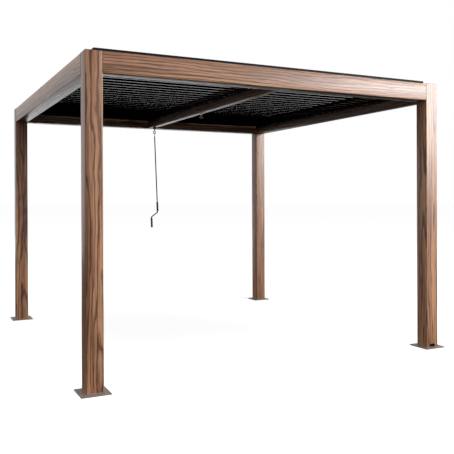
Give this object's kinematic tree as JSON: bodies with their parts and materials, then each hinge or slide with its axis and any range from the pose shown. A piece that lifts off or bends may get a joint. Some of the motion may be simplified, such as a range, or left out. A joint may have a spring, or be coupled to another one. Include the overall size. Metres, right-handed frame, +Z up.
{
  "type": "louvered pergola",
  "caption": "Free-standing square pergola with wood-look posts and beams, and a roof of tilting black louvres worked by a hanging hand crank.",
  "frame": {"origin": "centre of the plan, on the ground under the base plates", "axes": "+X along the front from left to right, +Y from front to back, +Z up"},
  "size_m": [3.084, 3.084, 2.25],
  "materials": {
    "wood_grain_coat": "wood-grain print under a matt powder coat on aluminium",
    "plate_coat": "bronze-grey powder coat on steel plate",
    "black_coat": "satin black powder coat",
    "louvre_coat": "satin black powder coat on aluminium blades",
    "bright_metal": "zinc-plated steel",
    "black_plastic": "moulded black plastic"
  },
  "bodies": {
    "frame": {"post_front_left": "wood_grain_coat", "post_front_right": "wood_grain_coat", "post_back_left": "wood_grain_coat", "post_back_right": "wood_grain_coat", "base_plate_front_left": "plate_coat", "base_plate_front_right": "plate_coat", "base_plate_back_left": "plate_coat", "base_plate_back_right": "plate_coat", "front_beam": "wood_grain_coat", "back_beam": "wood_grain_coat", "left_beam": "wood_grain_coat", "right_beam": "wood_grain_coat", "centre_beam": "wood_grain_coat", "front_rim": "black_coat", "back_rim": "black_coat", "left_rim": "black_coat", "right_rim": "black_coat", "left_beam_rail": "black_coat", "centre_left_rail": "black_coat", "centre_right_rail": "black_coat", "right_beam_rail": "black_coat", "gear_collar": "black_plastic", "lamp_hook": "bright_metal"},
    "louvre_01": {"louvre_01": "louvre_coat"},
    "louvre_02": {"louvre_02": "louvre_coat"},
    "louvre_03": {"louvre_03": "louvre_coat"},
    "louvre_04": {"louvre_04": "louvre_coat"},
    "louvre_05": {"louvre_05": "louvre_coat"},
    "louvre_06": {"louvre_06": "louvre_coat"},
    "louvre_07": {"louvre_07": "louvre_coat"},
    "louvre_08": {"louvre_08": "louvre_coat"},
    "louvre_09": {"louvre_09": "louvre_coat"},
    "louvre_10": {"louvre_10": "louvre_coat"},
    "louvre_11": {"louvre_11": "louvre_coat"},
    "louvre_12": {"louvre_12": "louvre_coat"},
    "louvre_13": {"louvre_13": "louvre_coat"},
    "louvre_14": {"louvre_14": "louvre_coat"},
    "louvre_15": {"louvre_15": "louvre_coat"},
    "louvre_16": {"louvre_16": "louvre_coat"},
    "louvre_17": {"louvre_17": "louvre_coat"},
    "louvre_18": {"louvre_18": "louvre_coat"},
    "louvre_19": {"louvre_19": "louvre_coat"},
    "louvre_20": {"louvre_20": "louvre_coat"},
    "louvre_21": {"louvre_21": "louvre_coat"},
    "louvre_22": {"louvre_22": "louvre_coat"},
    "louvre_23": {"louvre_23": "louvre_coat"},
    "louvre_24": {"louvre_24": "louvre_coat"},
    "louvre_25": {"louvre_25": "louvre_coat"},
    "louvre_26": {"louvre_26": "louvre_coat"},
    "gear_eye": {"gear_eye": "bright_metal"},
    "crank": {"crank_hook": "bright_metal", "crank_rod": "black_coat", "crank_upper_grip": "black_plastic", "crank_lower_grip": "black_plastic"}
  },
  "joints": [
    {"name": "louvre_01_tilt", "type": "hinge", "parent": "frame", "child": "louvre_01", "pos_m": [0, -1.32, 2.155], "axis": [1, 0, 0], "range_deg": [0, 90]},
    {"name": "louvre_02_tilt", "type": "hinge", "parent": "frame", "child": "louvre_02", "pos_m": [0, -1.2144, 2.155], "axis": [1, 0, 0], "range_deg": [0, 90]},
    {"name": "louvre_03_tilt", "type": "hinge", "parent": "frame", "child": "louvre_03", "pos_m": [0, -1.1088, 2.155], "axis": [1, 0, 0], "range_deg": [0, 90]},
    {"name": "louvre_04_tilt", "type": "hinge", "parent": "frame", "child": "louvre_04", "pos_m": [0, -1.0032, 2.155], "axis": [1, 0, 0], "range_deg": [0, 90]},
    {"name": "louvre_05_tilt", "type": "hinge", "parent": "frame", "child": "louvre_05", "pos_m": [0, -0.8976, 2.155], "axis": [1, 0, 0], "range_deg": [0, 90]},
    {"name": "louvre_06_tilt", "type": "hinge", "parent": "frame", "child": "louvre_06", "pos_m": [0, -0.792, 2.155], "axis": [1, 0, 0], "range_deg": [0, 90]},
    {"name": "louvre_07_tilt", "type": "hinge", "parent": "frame", "child": "louvre_07", "pos_m": [0, -0.6864, 2.155], "axis": [1, 0, 0], "range_deg": [0, 90]},
    {"name": "louvre_08_tilt", "type": "hinge", "parent": "frame", "child": "louvre_08", "pos_m": [0, -0.5808, 2.155], "axis": [1, 0, 0], "range_deg": [0, 90]},
    {"name": "louvre_09_tilt", "type": "hinge", "parent": "frame", "child": "louvre_09", "pos_m": [0, -0.4752, 2.155], "axis": [1, 0, 0], "range_deg": [0, 90]},
    {"name": "louvre_10_tilt", "type": "hinge", "parent": "frame", "child": "louvre_10", "pos_m": [0, -0.3696, 2.155], "axis": [1, 0, 0], "range_deg": [0, 90]},
    {"name": "louvre_11_tilt", "type": "hinge", "parent": "frame", "child": "louvre_11", "pos_m": [0, -0.264, 2.155], "axis": [1, 0, 0], "range_deg": [0, 90]},
    {"name": "louvre_12_tilt", "type": "hinge", "parent": "frame", "child": "louvre_12", "pos_m": [0, -0.1584, 2.155], "axis": [1, 0, 0], "range_deg": [0, 90]},
    {"name": "louvre_13_tilt", "type": "hinge", "parent": "frame", "child": "louvre_13", "pos_m": [0, -0.0528, 2.155], "axis": [1, 0, 0], "range_deg": [0, 90]},
    {"name": "louvre_14_tilt", "type": "hinge", "parent": "frame", "child": "louvre_14", "pos_m": [0, 0.0528, 2.155], "axis": [1, 0, 0], "range_deg": [0, 90]},
    {"name": "louvre_15_tilt", "type": "hinge", "parent": "frame", "child": "louvre_15", "pos_m": [0, 0.1584, 2.155], "axis": [1, 0, 0], "range_deg": [0, 90]},
    {"name": "louvre_16_tilt", "type": "hinge", "parent": "frame", "child": "louvre_16", "pos_m": [0, 0.264, 2.155], "axis": [1, 0, 0], "range_deg": [0, 90]},
    {"name": "louvre_17_tilt", "type": "hinge", "parent": "frame", "child": "louvre_17", "pos_m": [0, 0.3696, 2.155], "axis": [1, 0, 0], "range_deg": [0, 90]},
    {"name": "louvre_18_tilt", "type": "hinge", "parent": "frame", "child": "louvre_18", "pos_m": [0, 0.4752, 2.155], "axis": [1, 0, 0], "range_deg": [0, 90]},
    {"name": "louvre_19_tilt", "type": "hinge", "parent": "frame", "child": "louvre_19", "pos_m": [0, 0.5808, 2.155], "axis": [1, 0, 0], "range_deg": [0, 90]},
    {"name": "louvre_20_tilt", "type": "hinge", "parent": "frame", "child": "louvre_20", "pos_m": [0, 0.6864, 2.155], "axis": [1, 0, 0], "range_deg": [0, 90]},
    {"name": "louvre_21_tilt", "type": "hinge", "parent": "frame", "child": "louvre_21", "pos_m": [0, 0.792, 2.155], "axis": [1, 0, 0], "range_deg": [0, 90]},
    {"name": "louvre_22_tilt", "type": "hinge", "parent": "frame", "child": "louvre_22", "pos_m": [0, 0.8976, 2.155], "axis": [1, 0, 0], "range_deg": [0, 90]},
    {"name": "louvre_23_tilt", "type": "hinge", "parent": "frame", "child": "louvre_23", "pos_m": [0, 1.0032, 2.155], "axis": [1, 0, 0], "range_deg": [0, 90]},
    {"name": "louvre_24_tilt", "type": "hinge", "parent": "frame", "child": "louvre_24", "pos_m": [0, 1.1088, 2.155], "axis": [1, 0, 0], "range_deg": [0, 90]},
    {"name": "louvre_25_tilt", "type": "hinge", "parent": "frame", "child": "louvre_25", "pos_m": [0, 1.2144, 2.155], "axis": [1, 0, 0], "range_deg": [0, 90]},
    {"name": "louvre_26_tilt", "type": "hinge", "parent": "frame", "child": "louvre_26", "pos_m": [0, 1.32, 2.155], "axis": [1, 0, 0], "range_deg": [0, 90]},
    {"name": "gear_turn", "type": "hinge", "parent": "frame", "child": "gear_eye", "pos_m": [0, 1.28, 2.017], "axis": [0, 0, 1], "range_deg": [0, 1080]},
    {"name": "crank_swing", "type": "hinge", "parent": "gear_eye", "child": "crank", "pos_m": [0, 1.28, 2.003], "axis": [1, 0, 0], "range_deg": [-60, 60]}
  ],
  "couplings": [
    {"joint": "louvre_02_tilt", "follows": "louvre_01_tilt", "ratio": 1},
    {"joint": "louvre_03_tilt", "follows": "louvre_01_tilt", "ratio": 1},
    {"joint": "louvre_04_tilt", "follows": "louvre_01_tilt", "ratio": 1},
    {"joint": "louvre_05_tilt", "follows": "louvre_01_tilt", "ratio": 1},
    {"joint": "louvre_06_tilt", "follows": "louvre_01_tilt", "ratio": 1},
    {"joint": "louvre_07_tilt", "follows": "louvre_01_tilt", "ratio": 1},
    {"joint": "louvre_08_tilt", "follows": "louvre_01_tilt", "ratio": 1},
    {"joint": "louvre_09_tilt", "follows": "louvre_01_tilt", "ratio": 1},
    {"joint": "louvre_10_tilt", "follows": "louvre_01_tilt", "ratio": 1},
    {"joint": "louvre_11_tilt", "follows": "louvre_01_tilt", "ratio": 1},
    {"joint": "louvre_12_tilt", "follows": "louvre_01_tilt", "ratio": 1},
    {"joint": "louvre_13_tilt", "follows": "louvre_01_tilt", "ratio": 1},
    {"joint": "louvre_14_tilt", "follows": "louvre_01_tilt", "ratio": 1},
    {"joint": "louvre_15_tilt", "follows": "louvre_01_tilt", "ratio": 1},
    {"joint": "louvre_16_tilt", "follows": "louvre_01_tilt", "ratio": 1},
    {"joint": "louvre_17_tilt", "follows": "louvre_01_tilt", "ratio": 1},
    {"joint": "louvre_18_tilt", "follows": "louvre_01_tilt", "ratio": 1},
    {"joint": "louvre_19_tilt", "follows": "louvre_01_tilt", "ratio": 1},
    {"joint": "louvre_20_tilt", "follows": "louvre_01_tilt", "ratio": 1},
    {"joint": "louvre_21_tilt", "follows": "louvre_01_tilt", "ratio": 1},
    {"joint": "louvre_22_tilt", "follows": "louvre_01_tilt", "ratio": 1},
    {"joint": "louvre_23_tilt", "follows": "louvre_01_tilt", "ratio": 1},
    {"joint": "louvre_24_tilt", "follows": "louvre_01_tilt", "ratio": 1},
    {"joint": "louvre_25_tilt", "follows": "louvre_01_tilt", "ratio": 1},
    {"joint": "louvre_26_tilt", "follows": "louvre_01_tilt", "ratio": 1},
    {"joint": "gear_turn", "follows": "louvre_01_tilt", "ratio": 12}
  ]
}
